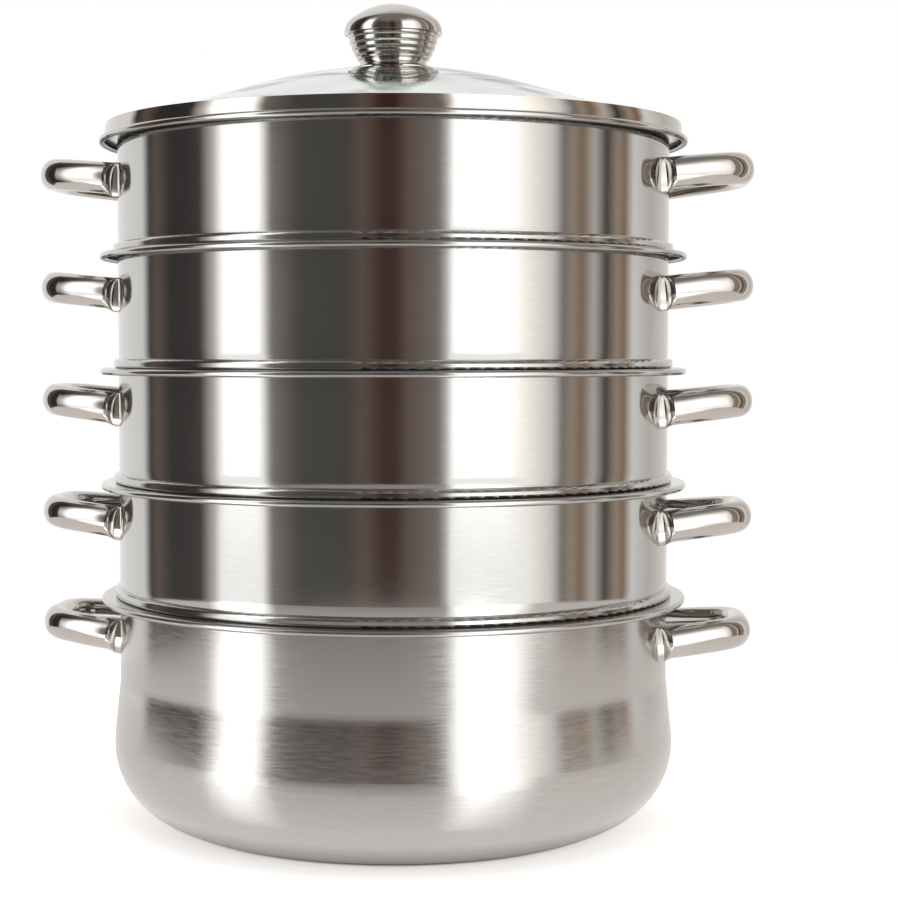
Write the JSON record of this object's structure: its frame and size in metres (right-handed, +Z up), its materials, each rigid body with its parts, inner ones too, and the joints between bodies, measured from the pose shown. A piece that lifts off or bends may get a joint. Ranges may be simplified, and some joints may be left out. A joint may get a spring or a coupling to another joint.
{
  "type": "stacking steamer pot",
  "caption": "Stacking stainless steel steamer: a round-bellied base pot, steamer rings with perforated floors and loop handles, and a domed glass lid with a steel knob.",
  "frame": {"origin": "centre of the base pot's flat underside, on the surface that it stands on", "axes": "+Z up the stack's axis, +X towards the right-hand handles, -Y towards the front"},
  "size_m": [0.3912, 0.321, 0.4469],
  "materials": {
    "satin_steel": "stainless sheet, spun and satin brushed round the pot",
    "bright_steel": "bright rolled stainless sheet with fine lines round it",
    "polished_steel": "mirror polished stainless steel",
    "clear_glass": "clear pressed tempered glass",
    "silicone": "translucent white silicone"
  },
  "bodies": {
    "pot": {"base_pot": "satin_steel", "base_handle_right": "polished_steel", "base_handle_left": "polished_steel"},
    "tier_1": {"tier_1_shell": "bright_steel", "tier_1_floor": "bright_steel", "tier_1_handle_right": "polished_steel", "tier_1_handle_left": "polished_steel"},
    "tier_2": {"tier_2_shell": "bright_steel", "tier_2_floor": "bright_steel", "tier_2_handle_right": "polished_steel", "tier_2_handle_left": "polished_steel"},
    "tier_3": {"tier_3_shell": "bright_steel", "tier_3_floor": "bright_steel", "tier_3_handle_right": "polished_steel", "tier_3_handle_left": "polished_steel"},
    "tier_4": {"tier_4_shell": "bright_steel", "tier_4_floor": "bright_steel", "tier_4_handle_right": "polished_steel", "tier_4_handle_left": "polished_steel"},
    "lid": {"lid_glass": "clear_glass", "lid_band": "polished_steel", "knob_cap": "polished_steel", "knob_cup": "polished_steel", "knob_plate": "polished_steel", "knob_nut": "bright_steel", "knob_screw": "bright_steel", "knob_washer": "bright_steel", "glass_gasket": "silicone", "glass_grommet": "silicone"}
  },
  "joints": [
    {"name": "tier_1_lift", "type": "slide", "parent": "pot", "child": "tier_1", "axis": [0, 0, 1], "range_m": [0, 0.12]},
    {"name": "tier_2_lift", "type": "slide", "parent": "tier_1", "child": "tier_2", "axis": [0, 0, 1], "range_m": [0, 0.12]},
    {"name": "tier_3_lift", "type": "slide", "parent": "tier_2", "child": "tier_3", "axis": [0, 0, 1], "range_m": [0, 0.12]},
    {"name": "tier_4_lift", "type": "slide", "parent": "tier_3", "child": "tier_4", "axis": [0, 0, 1], "range_m": [0, 0.12]},
    {"name": "lid_lift", "type": "slide", "parent": "tier_4", "child": "lid", "axis": [0, 0, 1], "range_m": [0, 0.12]}
  ]
}
